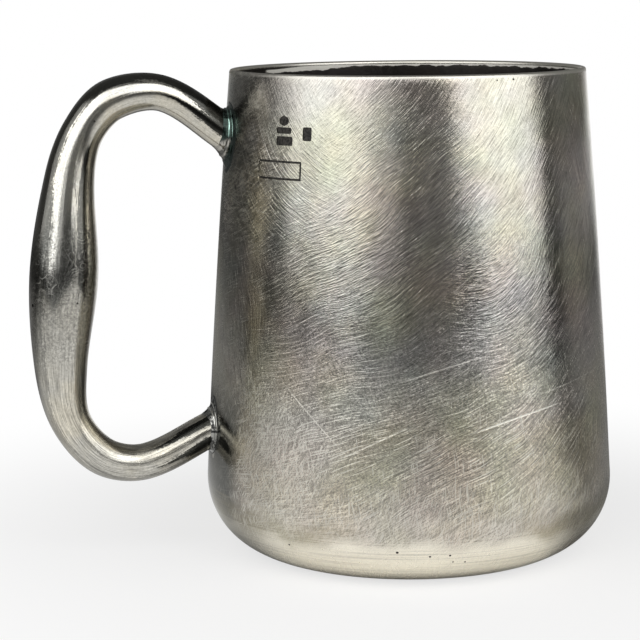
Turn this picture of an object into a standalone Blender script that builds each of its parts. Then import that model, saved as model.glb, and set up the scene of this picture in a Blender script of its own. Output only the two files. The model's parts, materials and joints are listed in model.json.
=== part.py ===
"""Silver pint tankard: a tapered drum with a rolled-in foot, a base plate and a hollow, swelled handle.

Metres, +Z up. The origin is the centre of the foot, on the surface that the tankard stands on.
The body's axis is Z, and the handle stands out along -X in the plane Y = 0.
"""

import math

import bmesh
import bpy
from mathutils import Matrix, Vector

MM = 0.001

# Drum: outer sizes, with the wall's thickness inside them
body_height = 107.5 * MM
rim_radius = 39.15 * MM
shoulder_radius = 45.45 * MM  # widest, where the wall turns in to the foot
corner_width = 16.05 * MM
corner_height = 16.5 * MM
wall_bulge = 0.4 * MM  # how far the wall swells beyond a straight taper, halfway up
wall_thickness = 1.2 * MM
seat_width = 2.6 * MM  # turned-in edge that carries the base plate

# Base plate, pressed down in the middle so that it lies flush with the foot
base_thickness = 1.2 * MM
base_seam_leg = 3.0 * MM

# Handle: two struck halves that meet in the plane Y = 0
upper_joint_drop = 13.2 * MM  # from the rim to the middle of the upper joint
lower_joint_height = 28.45 * MM
finger_gap = 26.75 * MM  # clear width between the wall and the swell of the handle
neck_radius = 3.9 * MM
swell_radius = 7.43 * MM
handle_wall = 0.9 * MM
handle_root = 3.0 * MM  # how far the handle's line runs on inside the drum before it is trimmed to the wall

# Vent hole that lets the gas out when the halves are soldered, beside the outer seam of the near half
vent_radius = 0.35 * MM
vent_height = 58.3 * MM
vent_angle = math.radians(22)  # round the handle, from the outer seam towards the near side

# Solder collars
upper_solder_leg = 2.4 * MM
lower_solder_leg = 1.5 * MM
solder_fullness = 0.3  # 0 is a deeply hollow fillet, 1 a flat one

# Clearance between pieces that are soldered together
joint_gap = 0.3 * MM

# The handle's line, as (out, up, fullness). Out is 0 on the line between the two joints and 1 at the swell.
# Up is 0 at the lower joint and 1 at the upper one. Fullness is 0 at the neck's radius and 1 at the swell's.
HANDLE_OUTLINE = [
    (0.000, 0.990, 0.02),  # upper joint
    (0.425, 1.129, 0.00),  # rise
    (0.746, 1.114, 0.18),  # crown, level with the rim
    (0.918, 1.013, 0.18),  # back of the hand
    (0.989, 0.865, 0.42),
    (1.000, 0.545, 1.00),  # middle of the swell
    (0.995, 0.239, 0.52),
    (0.919, 0.058, 0.15),
    (0.700, -0.070, 0.09),  # bottom bend
    (0.420, -0.094, 0.03),
    (0.000, 0.007, 0.00),  # lower joint
]

# Flat foot that the drum stands on, and the hole inside it that the base plate fills
foot_radius = shoulder_radius - corner_width
foot_hole_radius = foot_radius - seat_width

# Facets
BODY_STEPS = 72
WALL_POINTS = 7
CORNER_POINTS = 9
LIP_POINTS = 6
HANDLE_RINGS_PER_STATION = 6
HANDLE_BEVEL_RESOLUTION = 10  # 24 sides
BORE_BEVEL_RESOLUTION = 4  # 12 sides
COLLAR_SIDES = 28


def clear_scene():
    for old in list(bpy.data.objects):
        bpy.data.objects.remove(old, do_unlink=True)


def make_collection(name):
    collection = bpy.data.collections.new(name)
    bpy.context.scene.collection.children.link(collection)
    return collection


def metal(name, colour, roughness):
    material = bpy.data.materials.new(name)
    material.use_nodes = True
    shader = material.node_tree.nodes["Principled BSDF"]
    shader.inputs["Base Color"].default_value = (*colour, 1.0)
    shader.inputs["Metallic"].default_value = 1.0
    shader.inputs["Roughness"].default_value = roughness
    material.diffuse_color = (*colour, 1.0)
    return material


# Drum profile

def corner_slope_angle():
    """Angle on the corner's ellipse where its slope equals the wall's, so that the two run on smoothly."""
    run = (shoulder_radius - rim_radius - 4 * wall_bulge) / (body_height - corner_height)
    return math.atan(run * corner_height / corner_width)


def wall_line(height):
    """Outer radius of the drum above the corner, and how much the radius grows per unit of height."""
    span = body_height - corner_height
    share = (height - corner_height) / span
    radius = shoulder_radius + (rim_radius - shoulder_radius) * share + 4 * wall_bulge * share * (1 - share)
    slope = (rim_radius - shoulder_radius + 4 * wall_bulge * (1 - 2 * share)) / span
    return radius, slope


def wall_point(height, inset):
    """Point of the wall's profile, moved in from the outer face by inset."""
    radius, slope = wall_line(height)
    outward = Vector((1.0, -slope)).normalized()
    return Vector((radius, height)) - outward * inset


def corner_point(angle, inset):
    """Point of the rounded bottom corner. The angle is -90 degrees at the foot and about 0 at the wall."""
    centre = Vector((shoulder_radius - corner_width, corner_height))
    point = centre + Vector((corner_width * math.cos(angle), corner_height * math.sin(angle)))
    outward = Vector((math.cos(angle) / corner_width, math.sin(angle) / corner_height)).normalized()
    return point - outward * inset


def drum_side(inset, top):
    """The drum's side from the height top down to the foot, moved in from the outer face by inset."""
    blend = corner_slope_angle()
    low = corner_height + corner_height * math.sin(blend)
    points = [wall_point(top + (low - top) * i / WALL_POINTS, inset) for i in range(WALL_POINTS)]
    for i in range(CORNER_POINTS + 1):
        angle = blend + (-math.pi / 2 - blend) * i / CORNER_POINTS
        points.append(corner_point(angle, inset))
    return points


def outer_radius(height):
    """Outer radius of the drum at any height between the foot and the rim."""
    blend = corner_slope_angle()
    if height >= corner_height + corner_height * math.sin(blend):
        return wall_line(height)[0]
    sine = max(-1.0, (height - corner_height) / corner_height)
    return shoulder_radius - corner_width + corner_width * math.sqrt(1 - sine * sine)


# Turned pieces

def turned(name, profile, collection, closed):
    """Turn a profile of (radius, height) points about Z. It runs down the piece's outer side."""
    mesh = bpy.data.meshes.new(name)
    edges = [(i, i + 1) for i in range(len(profile) - 1)]
    if closed:
        edges.append((len(profile) - 1, 0))
    mesh.from_pydata([(radius, 0.0, height) for radius, height in profile], edges, [])
    piece = bpy.data.objects.new(name, mesh)
    collection.objects.link(piece)
    screw = piece.modifiers.new("Turn", "SCREW")
    screw.axis = "Z"
    screw.angle = math.tau
    screw.steps = BODY_STEPS
    screw.render_steps = BODY_STEPS
    screw.use_merge_vertices = True
    screw.merge_threshold = 0.00001
    screw.use_smooth_shade = True
    return piece


def body_wall(collection):
    """Drum with a half-round lip, whose top is at the body's height, and a turned-in edge round the foot."""
    lip_radius = wall_thickness / 2
    lean = math.atan(-wall_line(body_height)[1])
    lip_height = body_height - lip_radius * (1 - math.sin(lean))
    outer = drum_side(0.0, lip_height)
    inner = drum_side(wall_thickness, lip_height)
    lip_centre = (outer[0] + inner[0]) / 2
    lip = []
    for i in range(1, LIP_POINTS):
        angle = lean + math.pi * (1 - i / LIP_POINTS)
        lip.append(lip_centre + lip_radius * Vector((math.cos(angle), math.sin(angle))))
    foot = [Vector((foot_hole_radius, 0.0)), Vector((foot_hole_radius, wall_thickness))]
    return turned("body_wall", outer + foot + inner[::-1] + lip, collection, closed=True)


def base_plate(collection):
    """Pressed disc: its rim lies on the turned-in edge and its middle drops through to the foot."""
    rim = foot_radius - joint_gap
    rim_underside = wall_thickness + joint_gap
    rim_top = rim_underside + base_thickness
    boss = foot_hole_radius - joint_gap
    dish = boss - base_thickness
    profile = [
        (0.0, base_thickness),
        (dish, base_thickness),
        (dish, rim_top),
        (rim, rim_top),
        (rim, rim_underside),
        (boss, rim_underside),
        (boss, 0.0),
        (0.0, 0.0),
    ]
    return turned("base_plate", profile, collection, closed=False)


def hollow_fillet(start, corner, end, count):
    """Points of a hollow curve from start to end that bends towards the corner."""
    middle = (start + end) / 2
    pull = corner.lerp(middle, solder_fullness)
    points = []
    for i in range(count + 1):
        share = i / count
        points.append(start * (1 - share) ** 2 + pull * 2 * share * (1 - share) + end * share ** 2)
    return points


def base_seam(collection):
    """Ring of solder in the notch between the base plate's edge and the rising corner of the drum."""
    inset = wall_thickness + joint_gap
    plate_top = inset + base_thickness
    reach = math.asin(min(0.9, base_seam_leg / corner_width))
    under = [corner_point(-math.pi / 2 + reach * i / 3, inset) for i in range(4)]
    start = Vector((foot_radius, plate_top))
    top = hollow_fillet(start, under[0], under[-1], 4)
    return turned("base_seam", top + under[-2::-1], collection, closed=True)


# Handle

def smooth_line(stations, steps):
    """Smooth curve through the stations, each a Vector, with steps points from one to the next."""
    knots = [0.0]
    for a, b in zip(stations, stations[1:]):
        knots.append(knots[-1] + (b.xyz - a.xyz).length)
    last = len(stations) - 1
    slopes = []
    for i in range(last + 1):
        before, after = max(i - 1, 0), min(i + 1, last)
        slopes.append((stations[after] - stations[before]) / (knots[after] - knots[before]))
    line = []
    for i in range(last):
        span = knots[i + 1] - knots[i]
        for k in range(steps):
            u = k / steps
            line.append(
                stations[i] * (2 * u ** 3 - 3 * u ** 2 + 1)
                + slopes[i] * span * (u ** 3 - 2 * u ** 2 + u)
                + stations[i + 1] * (3 * u ** 2 - 2 * u ** 3)
                + slopes[i + 1] * span * (u ** 3 - u ** 2)
            )
    line.append(stations[last])
    return line


def joint_points():
    upper_height = body_height - upper_joint_drop
    upper = Vector((-outer_radius(upper_height), 0.0, upper_height))
    lower = Vector((-outer_radius(lower_joint_height), 0.0, lower_joint_height))
    return upper, lower


def handle_line(root):
    """Centre line of the handle with its radius as the fourth value. It runs on by root inside the drum."""
    upper, lower = joint_points()
    swell_up = max(HANDLE_OUTLINE, key=lambda station: station[2])[1]
    swell_middle = lower.lerp(upper, swell_up)
    reach = outer_radius(swell_middle.z) + finger_gap + swell_radius + swell_middle.x
    stations = []
    for out, up, fullness in HANDLE_OUTLINE:
        place = lower + (upper - lower) * up - Vector((out * reach, 0.0, 0.0))
        stations.append(Vector((*place, neck_radius + (swell_radius - neck_radius) * fullness)))
    line = smooth_line(stations, HANDLE_RINGS_PER_STATION)
    upper_root = line[0] + Vector((*(line[0] - line[1]).xyz.normalized() * root, 0.0))
    lower_root = line[-1] + Vector((*(line[-1] - line[-2]).xyz.normalized() * root, 0.0))
    return [upper_root] + line + [lower_root]


def swept_tube(name, line, grow, resolution, collection):
    """Tube along a line of (x, y, z, radius) points, made a closed mesh. Grow is added to each radius."""
    curve = bpy.data.curves.new(name, "CURVE")
    curve.dimensions = "3D"
    curve.bevel_depth = swell_radius
    curve.bevel_resolution = resolution
    curve.use_fill_caps = True
    spline = curve.splines.new("POLY")
    spline.points.add(len(line) - 1)
    for point, station in zip(spline.points, line):
        point.co = (*station.xyz, 1.0)
        point.radius = (station.w + grow) / swell_radius
    guide = bpy.data.objects.new(name, curve)
    collection.objects.link(guide)
    depsgraph = bpy.context.evaluated_depsgraph_get()
    mesh = bpy.data.meshes.new_from_object(guide.evaluated_get(depsgraph))
    mesh.name = name
    place = guide.matrix_world.copy()
    bpy.data.objects.remove(guide, do_unlink=True)
    shape = bmesh.new()
    shape.from_mesh(mesh)
    bmesh.ops.remove_doubles(shape, verts=shape.verts, dist=0.00001)
    shape.to_mesh(mesh)
    shape.free()
    mesh.shade_smooth()
    tube = bpy.data.objects.new(name, mesh)
    tube.matrix_world = place
    collection.objects.link(tube)
    return tube


def as_cutter(piece):
    piece.hide_render = True
    piece.display_type = "WIRE"
    return piece


def cut(piece, name, cutter):
    boolean = piece.modifiers.new(name, "BOOLEAN")
    boolean.operation = "DIFFERENCE"
    boolean.solver = "EXACT"
    boolean.object = cutter


def drum_space(collection):
    """The drum as one solid, larger by the joint gap: what the handle is trimmed to."""
    side = drum_side(-joint_gap, body_height)
    profile = [(0.0, side[0].y)] + [tuple(point) for point in side] + [(0.0, side[-1].y)]
    return as_cutter(turned("drum_space", profile, collection, closed=False))


def half_space(name, side, collection):
    """Block that takes away everything on one side of the handle's seam: side is -1 for near, 1 for far."""
    size = 2 * (body_height + shoulder_radius + finger_gap)
    bpy.ops.mesh.primitive_cube_add(size=size, location=(0.0, side * (size - joint_gap) / 2, body_height / 2))
    block = bpy.context.object
    block.name = name
    for owner in list(block.users_collection):
        owner.objects.unlink(block)
    collection.objects.link(block)
    return as_cutter(block)


def vent_drill(line, collection):
    """Drill for the vent, from the middle of the handle out through its wall."""
    station = min(line, key=lambda point: abs(point.z - vent_height))
    outward = Vector((-math.cos(vent_angle), -math.sin(vent_angle), 0.0))
    depth = 2 * station.w
    middle = Vector((station.x, 0.0, vent_height)) + outward * depth / 2
    bpy.ops.mesh.primitive_cylinder_add(vertices=12, radius=vent_radius, depth=depth, location=middle)
    drill = bpy.context.object
    drill.name = "vent_drill"
    drill.rotation_mode = "QUATERNION"
    drill.rotation_quaternion = outward.to_track_quat("Z", "Y")
    for owner in list(drill.users_collection):
        owner.objects.unlink(drill)
    collection.objects.link(drill)
    return as_cutter(drill)


def handle_halves(line, parts, cutters):
    bore_line = handle_line(handle_root + handle_wall)
    bore = as_cutter(swept_tube("handle_bore", bore_line, -handle_wall, BORE_BEVEL_RESOLUTION, cutters))
    drum = drum_space(cutters)
    near_side = half_space("near_side", -1, cutters)
    far_side = half_space("far_side", 1, cutters)
    drill = vent_drill(line, cutters)
    halves = []
    for name, other_side in (("handle_near_half", far_side), ("handle_far_half", near_side)):
        half = swept_tube(name, line, 0.0, HANDLE_BEVEL_RESOLUTION, parts)
        cut(half, "Trim to the wall", drum)
        cut(half, "Split at the seam", other_side)
        cut(half, "Hollow", bore)
        halves.append(half)
    cut(halves[0], "Vent", drill)
    return halves


# Solder collars

def line_at(line, distance):
    """Centre, radius and tangent of the handle at a distance along its line from the first point."""
    for a, b in zip(line, line[1:]):
        length = (b.xyz - a.xyz).length
        if distance <= length:
            return a.lerp(b, distance / length), (b.xyz - a.xyz).normalized()
        distance -= length
    return line[-1], (line[-1] - line[-2]).xyz.normalized()


def handle_surface(line, distance, angle, grow):
    """Point on the handle's skin, or grow outside it, and the direction out of the skin there."""
    station, along = line_at(line, distance)
    side = Vector((0.0, 1.0, 0.0))
    across = side.cross(along)
    outward = across * math.cos(angle) + side * math.sin(angle)
    return station.xyz + outward * (station.w + grow), outward


def wall_clearance(point):
    """How far a point is outside the drum, less the joint gap."""
    return math.hypot(point.x, point.y) - outer_radius(point.z) - joint_gap


def leave_wall(line, angle):
    """Distance along the line at which the handle's grown skin comes out of the drum."""
    inside, outside = 0.0, 6 * neck_radius
    for _ in range(40):
        middle = (inside + outside) / 2
        point, _outward = handle_surface(line, middle, angle, joint_gap)
        if wall_clearance(point) < 0:
            inside = middle
        else:
            outside = middle
    return outside


def on_wall(point):
    """The point moved level onto the surface that lies one joint gap outside the drum."""
    scale = (outer_radius(point.z) + joint_gap) / math.hypot(point.x, point.y)
    return Vector((point.x * scale, point.y * scale, point.z))


def solder_collar(name, line, leg, collection):
    """Hollow fillet all round the handle's end: a loft of one section per direction round the handle."""
    place = line[1].xyz
    shape = bmesh.new()
    sections = []
    for i in range(COLLAR_SIDES):
        angle = math.tau * i / COLLAR_SIDES
        distance = leave_wall(line, angle)
        corner, outward = handle_surface(line, distance, angle, joint_gap)
        on_handle, _outward = handle_surface(line, distance + leg, angle, joint_gap)
        wall_normal = Vector((corner.x, corner.y, 0.0)).normalized()
        away = (outward - wall_normal * outward.dot(wall_normal)).normalized()
        foot = on_wall(corner + away * leg)
        section = [corner] + hollow_fillet(on_handle, corner, foot, 4)
        sections.append([shape.verts.new(point - place) for point in section])
    count = len(sections[0])
    for i, section in enumerate(sections):
        following = sections[(i + 1) % COLLAR_SIDES]
        for k in range(count):
            m = (k + 1) % count
            shape.faces.new((section[k], section[m], following[m], following[k]))
    bmesh.ops.recalc_face_normals(shape, faces=shape.faces)
    mesh = bpy.data.meshes.new(name)
    shape.to_mesh(mesh)
    shape.free()
    mesh.shade_smooth()
    mesh.set_sharp_from_angle(angle=math.radians(50))
    collar = bpy.data.objects.new(name, mesh)
    collar.matrix_world = Matrix.Translation(place)
    collection.objects.link(collar)
    return collar


def build_tankard():
    clear_scene()
    parts = make_collection("silver_tankard")
    cutters = make_collection("silver_tankard_cutters")
    drum_silver = metal("drum silver, worn and scratched", (0.45, 0.43, 0.40), 0.34)
    plate_silver = metal("base silver, tarnished", (0.32, 0.30, 0.28), 0.42)
    handle_silver = metal("handle silver, polished by the hand", (0.50, 0.48, 0.45), 0.26)
    solder = metal("solder, dull", (0.30, 0.32, 0.30), 0.45)

    line = handle_line(handle_root)
    near_half, far_half = handle_halves(line, parts, cutters)
    pieces = [
        (body_wall(parts), drum_silver),
        (base_plate(parts), plate_silver),
        (base_seam(parts), solder),
        (near_half, handle_silver),
        (far_half, handle_silver),
        (solder_collar("upper_handle_solder", line, upper_solder_leg, parts), solder),
        (solder_collar("lower_handle_solder", line[::-1], lower_solder_leg, parts), solder),
    ]
    tankard = bpy.data.objects.new("tankard", None)
    parts.objects.link(tankard)
    for piece, finish in pieces:
        piece.data.materials.clear()
        piece.data.materials.append(finish)
        piece.parent = tankard


build_tankard()
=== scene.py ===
import json
import math

import bmesh
import bpy
from mathutils import Matrix, Vector, kdtree, noise

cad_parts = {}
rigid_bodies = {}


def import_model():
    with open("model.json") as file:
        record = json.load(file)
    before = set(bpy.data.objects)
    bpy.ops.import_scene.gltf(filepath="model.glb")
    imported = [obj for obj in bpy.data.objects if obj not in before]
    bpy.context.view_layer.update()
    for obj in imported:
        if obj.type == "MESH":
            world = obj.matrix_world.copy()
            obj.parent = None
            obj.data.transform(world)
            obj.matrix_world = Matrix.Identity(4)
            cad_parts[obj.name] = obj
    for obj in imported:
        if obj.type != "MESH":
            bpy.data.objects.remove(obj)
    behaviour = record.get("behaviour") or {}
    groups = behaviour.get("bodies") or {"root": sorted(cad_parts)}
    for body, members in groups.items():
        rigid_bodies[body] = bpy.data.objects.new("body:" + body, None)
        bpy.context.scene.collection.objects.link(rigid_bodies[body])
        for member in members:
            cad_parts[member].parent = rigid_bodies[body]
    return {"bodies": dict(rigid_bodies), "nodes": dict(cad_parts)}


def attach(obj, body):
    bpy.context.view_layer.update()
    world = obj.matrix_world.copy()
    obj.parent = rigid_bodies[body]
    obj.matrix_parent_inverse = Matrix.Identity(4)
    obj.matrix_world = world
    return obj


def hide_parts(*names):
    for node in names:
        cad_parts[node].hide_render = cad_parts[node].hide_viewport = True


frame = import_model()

# Silver tankard: drum, base, hollow handle and its solder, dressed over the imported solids.
# Shapes are worked out in millimetres and scaled to metres when a piece is made.
mm = 0.001

keep = set(frame["nodes"].values()) | set(frame["bodies"].values())
for stray in list(bpy.data.objects):
    if stray not in keep:
        bpy.data.objects.remove(stray, do_unlink=True)

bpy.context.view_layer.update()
scene = bpy.context.scene
scene.view_settings.view_transform = "Standard"

print("camera, lamps and floor")

cameraPlace = {
    "lens": 121.82,
    "position": (-124.3, -463.8, 128.2),
    "turn": -0.220863,
    "pitch": 0.15896,
    "roll": -0.00884,
}


def linked(name, data):
    made = bpy.data.objects.new(name, data)
    scene.collection.objects.link(made)
    return made


photoCamera = bpy.data.cameras.new("photoCamera")
photoCamera.lens = cameraPlace["lens"]
photoCamera.sensor_width = 36
scene.camera = linked("photoCamera", photoCamera)
scene.camera.matrix_world = (
    Matrix.Translation(Vector(cameraPlace["position"]) * mm)
    @ Matrix.Rotation(cameraPlace["turn"], 4, "Z")
    @ Matrix.Rotation(math.pi / 2 - cameraPlace["pitch"], 4, "X")
    @ Matrix.Rotation(cameraPlace["roll"], 4, "Z")
)

# Each panel has the bearings of its two sides, its lowest and highest point and its glow. Bearings are degrees
# to the right of the line from the tankard to the camera, heights are metres at the panel's distance, and glow
# is what a panel would look like if you looked straight at it: 1 is white.
panels = {
    "distance": 0.9,
    "parts": [
        ("rightTall", 25.5, 85, 0.168, 0.95, 1.8),
        ("rightStep", 34, 85, 0.130, 0.168, 1.8),
        ("rightLow", 39.5, 85, 0.100, 0.130, 1.7),
        ("rightFoot", 45, 85, 0.040, 0.100, 1.5),
        ("leftTall", -90, -23, 0.150, 0.95, 1.25),
        ("leftStep", -76, -24, 0.105, 0.150, 1.15),
        ("leftLow", -56, -30, 0.060, 0.105, 1.0),
        ("leftWide", -76, -7, 0.060, 0.95, 0.5),
        ("rightBackTall", 104, 155, 0.10, 0.95, 0.05),
        ("rightBackLow", 102, 178, 0.0, 0.070, 0.30),
        ("leftBack", -170, -128, 0.03, 0.95, 0.06),
        ("frontDim", -20, 28, 0.0, 0.20, 0.07),
    ],
}
overCamera = {"bearing": 4, "tilt": 36, "distance": 0.95, "aim": (0, 0, 0.08), "width": 1.05, "height": 0.72,
              "glow": 1.6}
room = {"grey": 0.15, "blueShare": 0.97}
cameraBearing = math.degrees(math.atan2(cameraPlace["position"][1], cameraPlace["position"][0]))


def areaLamp(name, width, height, glow, place, aim):
    lamp = bpy.data.lights.new(name, "AREA")
    lamp.shape = "RECTANGLE"
    lamp.size, lamp.size_y = width, height
    lamp.energy = glow * math.pi * width * height
    made = linked(name, lamp)
    made.location = place
    made.rotation_euler = (aim - place).to_track_quat("-Z", "Y").to_euler()


def aimedPlace(bearing, tilt, distance):
    angle, rise = math.radians(cameraBearing + bearing), math.radians(tilt)
    return Vector((math.cos(angle) * math.cos(rise), math.sin(angle) * math.cos(rise), math.sin(rise))) * distance


for name, left, right, low, high, glow in panels["parts"]:
    width = 2 * panels["distance"] * math.tan(math.radians(right - left) / 2)
    middle = Vector((0, 0, (low + high) / 2))
    areaLamp(name, width, high - low, glow, aimedPlace((left + right) / 2, 0, panels["distance"]) + middle, middle)
aim = Vector(overCamera["aim"])
areaLamp("overCamera", overCamera["width"], overCamera["height"], overCamera["glow"],
         aimedPlace(overCamera["bearing"], overCamera["tilt"], overCamera["distance"]) + aim, aim)

print("room and node helpers")

# The tree that new nodes go into and the colour that is being built up in it
bench = {"tree": None, "colour": None}


class nodeValue:
    # the output of a node, whose arithmetic adds Math nodes to the tree

    def __init__(self, socket):
        self.socket = socket

    def __add__(self, other):
        return calc("ADD", self, other)

    def __sub__(self, other):
        return calc("SUBTRACT", self, other)

    def __rsub__(self, other):
        return calc("SUBTRACT", other, self)

    def __mul__(self, other):
        return calc("MULTIPLY", self, other)

    def __truediv__(self, other):
        return calc("DIVIDE", self, other)

    def __abs__(self):
        return calc("ABSOLUTE", self)


def setInputs(node, inputs):
    # an input takes the output of a node or a constant
    for key, value in inputs.items():
        source, target = getattr(value, "socket", value), node.inputs[key]
        if isinstance(source, bpy.types.NodeSocket):
            bench["tree"].links.new(source, target)
        else:
            target.default_value = (*source, 1) if target.type == "RGBA" else source


def addNode(kind, inputs=None, **settings):
    # gives back the outputs, by number and by name
    made = bench["tree"].nodes.new("ShaderNode" + kind)
    for name, value in settings.items():
        setattr(made, name, value)
    setInputs(made, inputs or {})
    outputs = [nodeValue(socket) for socket in made.outputs]
    return dict(enumerate(outputs)) | dict(zip(made.outputs.keys(), outputs))


def calc(operation, a, b=0.0, c=0.0):
    return addNode("Math", {0: a, 1: b, 2: c}, operation=operation)[0]


def timesPlus(value, factor, added):
    return calc("MULTIPLY_ADD", value, factor, added)


def larger(a, b):
    return calc("MAXIMUM", a, b)


def greatest(fields):
    # each field is taken in as soon as it is made, because a finish can hold only so many values at once
    best = None
    for field in fields:
        best = field if best is None else larger(best, field)
    return best


def between(value, low, high, bottom=0.0, top=1.0):
    # smooth step from bottom to top as the value goes from low to high
    return addNode("MapRange", {0: value, 1: low, 2: high, 3: bottom, 4: top}, interpolation_type="SMOOTHSTEP")[0]


def falling(value, low, high):
    return between(value, low, high, 1.0, 0.0)


def clamped(value, low, high):
    return addNode("Clamp", {0: value, 1: low, 2: high})[0]


def asVector(x, y, z=0.0):
    return addNode("CombineXYZ", {0: x, 1: y, 2: z})[0]


def asColour(red, green, blue):
    return addNode("CombineColor", {0: red, 1: green, 2: blue})[0]


def darker(colour, share):
    return [part * share for part in colour]


def blendColour(factor, a, b, how="MIX"):
    return addNode("Mix", {0: factor, 6: a, 7: b}, data_type="RGBA", blend_type=how)[2]


def coat(share, colour, how="MIX"):
    # lay a colour over what the finish has so far
    bench["colour"] = blendColour(share, bench["colour"], colour, how)


def vectorMath(operation, a, b=(0, 0, 0)):
    return addNode("VectorMath", {0: a, 1: b}, operation=operation)["Value"]


def cloud(place, scale, detail=2.0, roughness=0.5, output=0):
    return addNode("TexNoise", {"Vector": place, "Scale": scale, "Detail": detail, "Roughness": roughness})[output]


def threeClouds(place, scale, detail):
    return addNode("SeparateColor", {0: cloud(place, scale, detail, output="Color")})


def objectPoint():
    # the point on the piece in millimetres, and its three parts
    place = addNode("TexCoord")["Object"]
    scaled = addNode("VectorMath", {0: place, 3: 1 / mm}, operation="SCALE")[0]
    parts = addNode("SeparateXYZ", {0: scaled})
    return scaled, parts[0], parts[1], parts[2]


def newFinish(name):
    finish = bpy.data.materials.new(name)
    finish.use_nodes = True
    bench["tree"] = finish.node_tree
    return finish, finish.node_tree.nodes["Principled BSDF"]


def bumped(shader, height, depth):
    # depth is the height of a full step of the pattern, in millimetres
    setInputs(shader, {"Normal": addNode("Bump", {"Strength": 1.0, "Distance": depth * mm, "Height": height})[0]})


scene.world = bpy.data.worlds.new("room")
scene.world.use_nodes = True
bench["tree"] = scene.world.node_tree
greyRoom = bench["tree"].nodes["Background"]
setInputs(greyRoom, {"Color": (room["grey"], room["grey"], room["grey"] * room["blueShare"])})
whiteRoom = addNode("Background", {"Color": (1, 1, 1)})[0]
roomMix = addNode("MixShader", {0: addNode("LightPath")["Is Camera Ray"], 1: greyRoom.outputs[0], 2: whiteRoom})
setInputs(bench["tree"].nodes["World Output"], {"Surface": roomMix[0]})

print("floor and backdrop")

floorLook = {
    "reach": 6.0,
    "grey": 0.90,
    "farGrey": 0.14,
    "paleFrom": 0.14,
    "paleTo": 0.48,
    "sideReach": 0.68,
    "behindReach": 1.8,
    "leftAndRight": {"fade": (0.5, 1.2), "dim": (-0.35, -0.8), "shineFrom": (0.16, 0.02)},
    "sideShine": 0.24,
    "leftFade": 1.8,
    "whiteFrom": 0.05,
    "whiteTo": 0.18,
    "leastWhite": 0.70,
    "nearShine": 0.80,
    "mirrorFrom": 0.08,
    "mirrorTo": 0.28,
    "mirrorSpread": (0.25, 0.62),
    "cardDistance": 1.25,
    "cardWidth": 1.55,
    "cardHeight": 0.22,
}

viewAway = Vector((-math.cos(math.radians(cameraBearing)), -math.sin(math.radians(cameraBearing)), 0))
viewSide = Vector((-viewAway.y, viewAway.x, 0))


def whiteSeen(shader, toCamera, toMirrors):
    # white to the camera and in reflections where the masks say so, plain lit card elsewhere
    path = addNode("LightPath")
    mirrored = larger(path["Is Glossy Ray"], path["Is Transmission Ray"])
    seen = larger(path["Is Camera Ray"] * toCamera, mirrored * toMirrors)
    glow = addNode("Emission", {"Color": (1, 1, 1), "Strength": 1.0})
    mixed = addNode("MixShader", {0: seen, 1: shader.outputs[0], 2: glow[0]})
    setInputs(bench["tree"].nodes["Material Output"], {"Surface": mixed[0]})


def awayAndSide(place):
    return [vectorMath("DOT_PRODUCT", place, direction) for direction in (viewAway, viewSide)]


def behindMask(place):
    # 1 straight behind the tankard as the camera sees it, falling to 0 at the sides
    away, side = awayAndSide(place)
    side = larger(side * floorLook["leftFade"], side * -1.0)
    spread = side / larger(away, 0.01)
    sideFade = falling(spread, *floorLook["mirrorSpread"])
    return sideFade * between(away, floorLook["mirrorFrom"], floorLook["mirrorTo"])


def floorFinish():
    finish, shader = newFinish("paleFloor")
    near, far = floorLook["grey"], floorLook["farGrey"]
    setInputs(shader, {"Roughness": 0.9, "Specular IOR Level": 0.0})
    place = addNode("TexCoord")["Object"]
    out = vectorMath("LENGTH", place)
    # the pale part of the floor reaches further to the sides than in front, and least of all behind
    away, side = awayAndSide(place)
    slant = away / larger(abs(side), 0.03)
    # how far the pale part reaches, how dim it gets and where its shine begins, at the left and at the right
    fade, dim, shineFrom = [between(side, 0.02, -0.02, *pair) for pair in floorLook["leftAndRight"].values()]
    fade = between(slant, -0.15, 0.15) * fade
    side = side * floorLook["sideReach"]
    away = larger(away * floorLook["behindReach"], away * -1.0)
    pale = calc("SQRT", timesPlus(away, away, side * side))
    pale = timesPlus(pale, fade, pale)
    # close to the foot the dimmer part begins further forward
    turned = slant + between(out, 0.06, 0.1, 0.5, 0.0)
    shade = timesPlus(between(turned, -0.4, 0.25), dim, 1.0)
    grey = between(pale, floorLook["paleFrom"], floorLook["paleTo"], near, far) * shade
    grey = larger(grey, addNode("LightPath")["Is Camera Ray"] * near)
    setInputs(shader, {"Base Color": asColour(grey, grey, grey)})
    toCamera = between(out, floorLook["whiteFrom"], floorLook["whiteTo"], floorLook["leastWhite"], 1.0)
    nearShine = between(pale, 0.12, 0.34, floorLook["nearShine"], 0.0) * between(out, 0.037, 0.056)
    sideShine = between(slant, 0.0, 0.3) * between(out - shineFrom, 0.02, 0.1, 0.0, floorLook["sideShine"])
    sideShine = sideShine * between(out, 0.35, 0.85, 1.0, 0.15)
    toMirrors = greatest([behindMask(place), nearShine * shade, sideShine])
    whiteSeen(shader, toCamera, toMirrors)
    return finish


def meshFrom(bm, name):
    mesh = bpy.data.meshes.new(name)
    bm.to_mesh(mesh)
    bm.free()
    return mesh


def flatGrid(wide, tall, columns=1, rows=1):
    bm = bmesh.new()
    bmesh.ops.create_grid(bm, x_segments=columns, y_segments=rows, size=0.5)
    bmesh.ops.scale(bm, vec=(wide, tall, 1), verts=bm.verts)
    return bm


def stagePiece(name, finish, wide, tall, matrix):
    bm = flatGrid(wide, tall)
    bmesh.ops.transform(bm, matrix=matrix, verts=bm.verts)
    mesh = meshFrom(bm, name)
    mesh.materials.append(finish)
    made = linked(name, mesh)


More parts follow.
